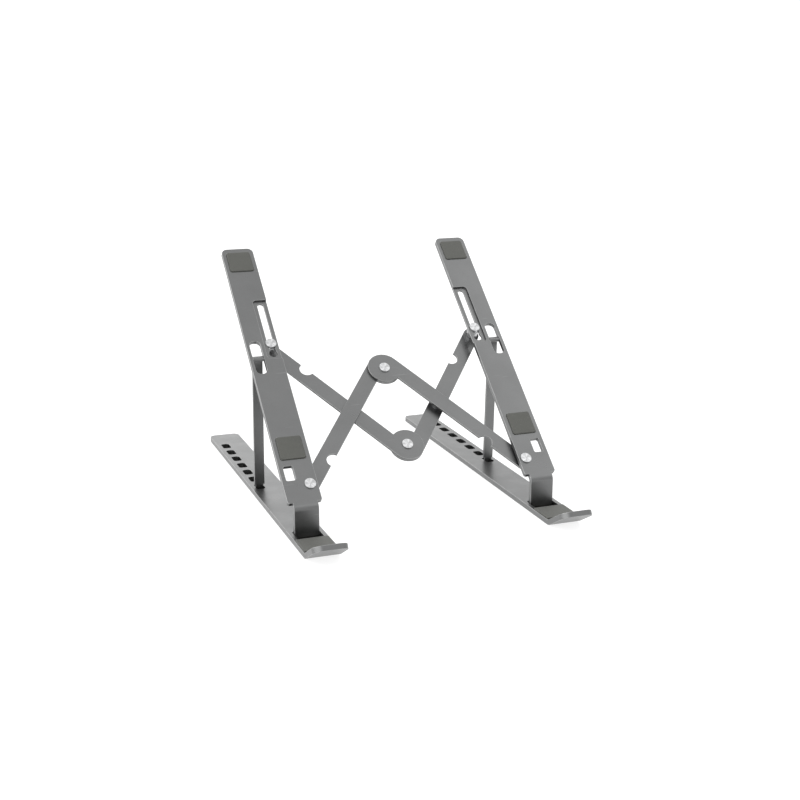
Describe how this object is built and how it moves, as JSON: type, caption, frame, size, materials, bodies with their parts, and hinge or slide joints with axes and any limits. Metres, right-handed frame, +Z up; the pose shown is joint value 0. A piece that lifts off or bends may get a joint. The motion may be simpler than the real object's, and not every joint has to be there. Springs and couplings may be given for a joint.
{
  "type": "folding laptop stand",
  "caption": "Folding metal laptop stand: mirrored base bars and tilted rest arms with prop legs, notches, soft pads and front hooks, joined by a scissor of links.",
  "frame": {"origin": "on the desk surface, at the centre of the bounding box seen from above", "axes": "+X to the right seen from the front, +Y to the rear, away from the hooks, +Z up"},
  "size_m": [0.1808, 0.2768, 0.1555],
  "materials": {
    "arm_metal": "fine bead blasted and anodised grey, satin",
    "base_metal": "fine bead blasted and anodised grey, satin",
    "link_metal": "fine bead blasted and anodised grey, satin",
    "leg_metal": "fine bead blasted and anodised grey, satin",
    "rivet_metal": "turned head, bright",
    "pin_steel": "plain ground pin",
    "silicone": "matte silicone, olive grey"
  },
  "bodies": {
    "base_left": {"base_left": "base_metal", "base_hinge_pin_left": "pin_steel", "tray_pad_left": "silicone", "foot_pad_front_left": "silicone", "foot_pad_mid_left": "silicone", "foot_pad_rear_left": "silicone"},
    "rest_left": {"rest_arm_left": "arm_metal", "upper_pad_left": "silicone", "lower_pad_left": "silicone", "leg_hinge_pin_left": "pin_steel", "pivot_rivet_left": "rivet_metal", "pivot_spacer_left": "rivet_metal"},
    "leg_left": {"support_leg_left": "leg_metal"},
    "base_right": {"base_right": "base_metal", "base_hinge_pin_right": "pin_steel", "tray_pad_right": "silicone", "foot_pad_front_right": "silicone", "foot_pad_mid_right": "silicone", "foot_pad_rear_right": "silicone"},
    "rest_right": {"rest_arm_right": "arm_metal", "upper_pad_right": "silicone", "lower_pad_right": "silicone", "leg_hinge_pin_right": "pin_steel", "pivot_rivet_right": "rivet_metal", "pivot_spacer_right": "rivet_metal"},
    "leg_right": {"support_leg_right": "leg_metal"},
    "pivot_link_left": {"pivot_link_left": "link_metal", "cross_rivet_left": "rivet_metal", "centre_rivet_upper": "rivet_metal"},
    "pivot_link_right": {"pivot_link_right": "link_metal", "cross_rivet_right": "rivet_metal", "cross_spacer_right": "rivet_metal"},
    "slider_link_left": {"slider_link_left": "link_metal", "slider_rivet_left": "rivet_metal", "slider_spacer_left": "rivet_metal", "centre_rivet_lower": "rivet_metal"},
    "slider_link_right": {"slider_link_right": "link_metal", "slider_rivet_right": "rivet_metal", "slider_spacer_right": "rivet_metal"}
  },
  "joints": [
    {"name": "raise", "type": "hinge", "parent": "base_left", "child": "rest_left", "pos_m": [-0.0794, -0.08465, 0.00225], "axis": [1, 0, 0], "range_deg": [0, 44]},
    {"name": "base_level", "type": "hinge", "parent": "rest_right", "child": "base_right", "pos_m": [0.0794, -0.08465, 0.00225], "axis": [1, 0, 0], "range_deg": [-44, 0]},
    {"name": "leg_fold_left", "type": "hinge", "parent": "rest_left", "child": "leg_left", "pos_m": [-0.0844, 0.00314, 0.09339], "axis": [1, 0, 0], "range_deg": [-52.01, 0]},
    {"name": "leg_fold_right", "type": "hinge", "parent": "rest_right", "child": "leg_right", "pos_m": [0.0844, 0.00314, 0.09339], "axis": [1, 0, 0], "range_deg": [-52.01, 0]},
    {"name": "fold", "type": "hinge", "parent": "rest_left", "child": "pivot_link_left", "pos_m": [-0.0733, -0.06981, 0.02646], "axis": [0, -0.6414, 0.7672], "range_deg": [0, 37.9]},
    {"name": "cross_left", "type": "hinge", "parent": "pivot_link_left", "child": "slider_link_left", "pos_m": [-0.03043, -0.02614, 0.06069], "axis": [0, -0.6414, 0.7672], "range_deg": [-75.8, 0]},
    {"name": "centre_upper", "type": "hinge", "parent": "pivot_link_left", "child": "pivot_link_right", "pos_m": [0, -0.00434, 0.0812], "axis": [0, -0.6414, 0.7672], "range_deg": [-75.8, 0]},
    {"name": "cross_right", "type": "hinge", "parent": "pivot_link_right", "child": "slider_link_right", "pos_m": [0.03043, -0.02502, 0.05935], "axis": [0, -0.6414, 0.7672], "range_deg": [0, 75.8]},
    {"name": "pivot_right", "type": "hinge", "parent": "pivot_link_right", "child": "rest_right", "pos_m": [0.0733, -0.07093, 0.0278], "axis": [0, -0.6414, 0.7672], "range_deg": [0, 37.9]}
  ],
  "couplings": [
    {"joint": "base_level", "follows": "raise", "ratio": -1},
    {"joint": "leg_fold_left", "follows": "raise", "ratio": -1.1818},
    {"joint": "leg_fold_right", "follows": "raise", "ratio": -1.1818},
    {"joint": "cross_left", "follows": "fold", "ratio": -2},
    {"joint": "centre_upper", "follows": "fold", "ratio": -2},
    {"joint": "cross_right", "follows": "fold", "ratio": 2},
    {"joint": "pivot_right", "follows": "fold", "ratio": 1}
  ]
}
